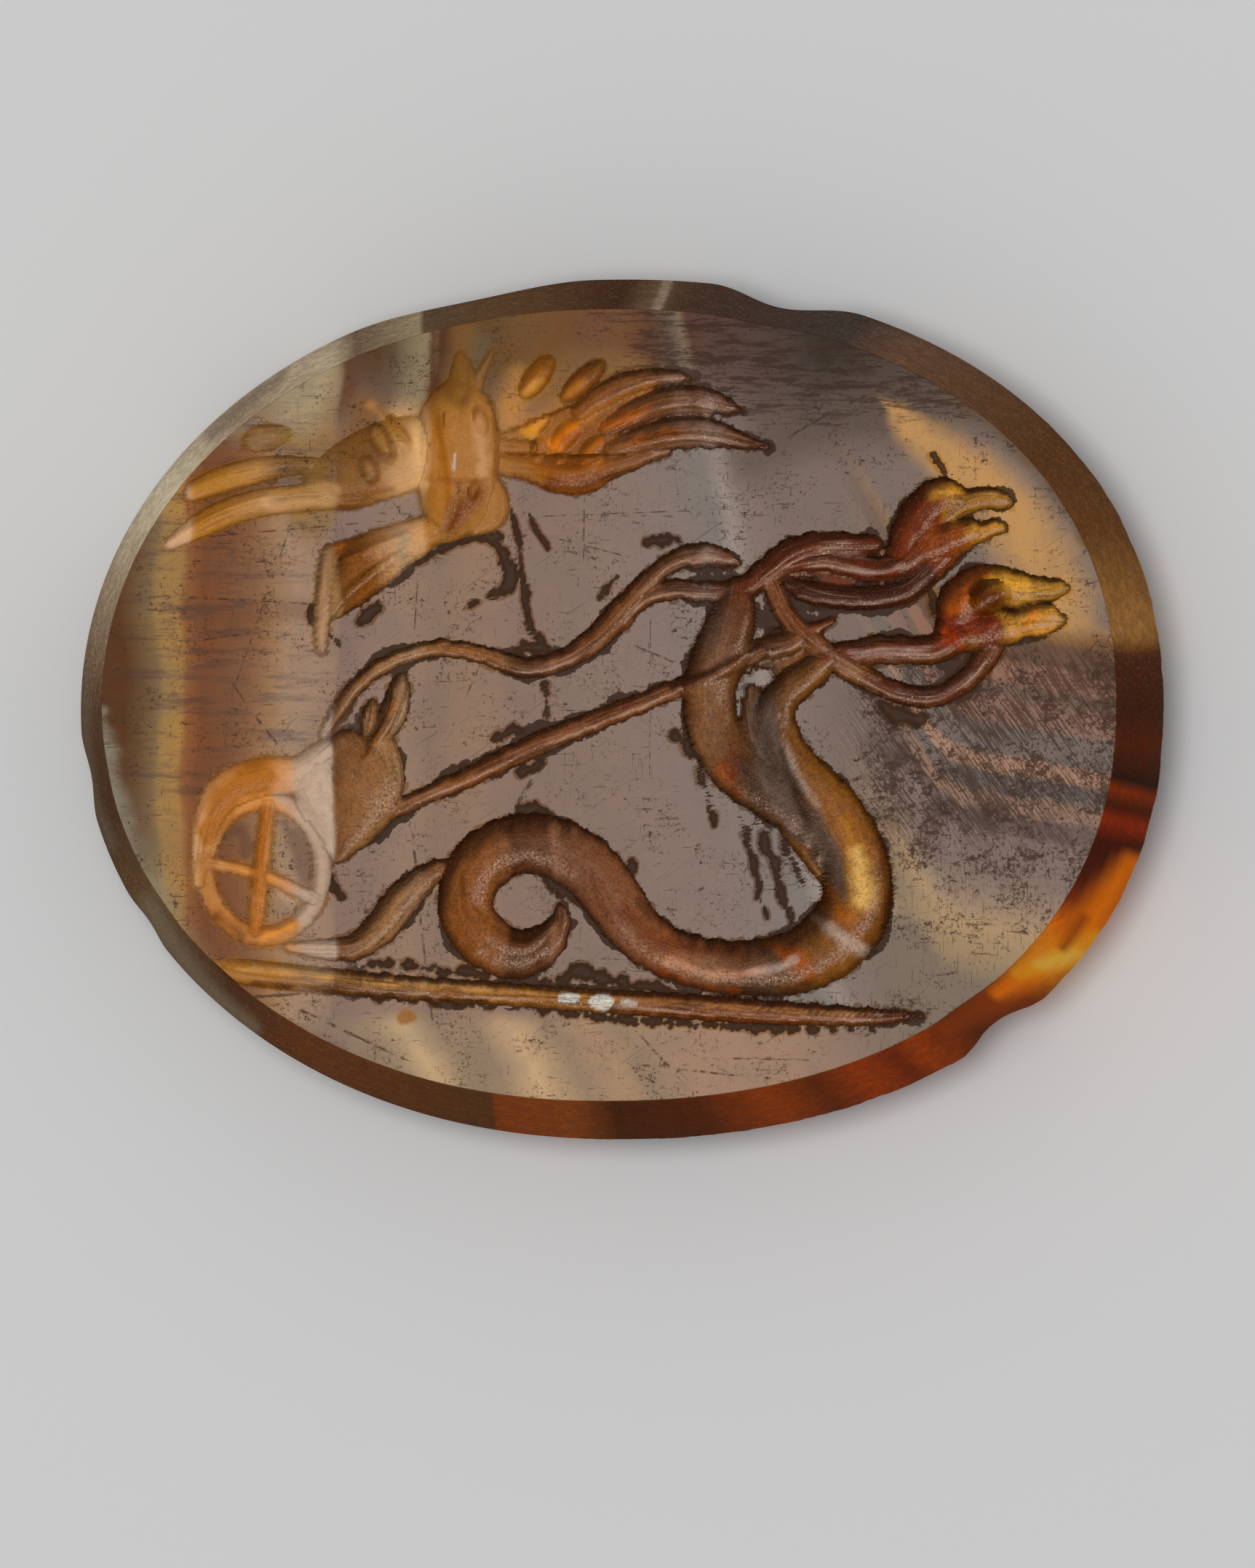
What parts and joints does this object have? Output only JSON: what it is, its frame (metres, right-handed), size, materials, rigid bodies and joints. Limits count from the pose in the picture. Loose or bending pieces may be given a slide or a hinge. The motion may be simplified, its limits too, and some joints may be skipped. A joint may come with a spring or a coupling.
{
  "type": "intaglio ringstone",
  "caption": "Oval banded agate ringstone with a flat polished face, carved in intaglio with a serpent-drawn chariot and a bird, to be set in a finger ring.",
  "frame": {"origin": "middle of the flat back, under the middle of the oval outline", "axes": "+X along the oval's long axis, towards the serpents' heads; +Y across it, towards the bird; +Z out of the carved face"},
  "size_m": [0.013, 0.0104, 0.0026],
  "materials": {
    "banded_agate": "polished face, matt carving and rim"
  },
  "bodies": {
    "root": {"ringstone": "banded_agate"}
  },
  "joints": []
}
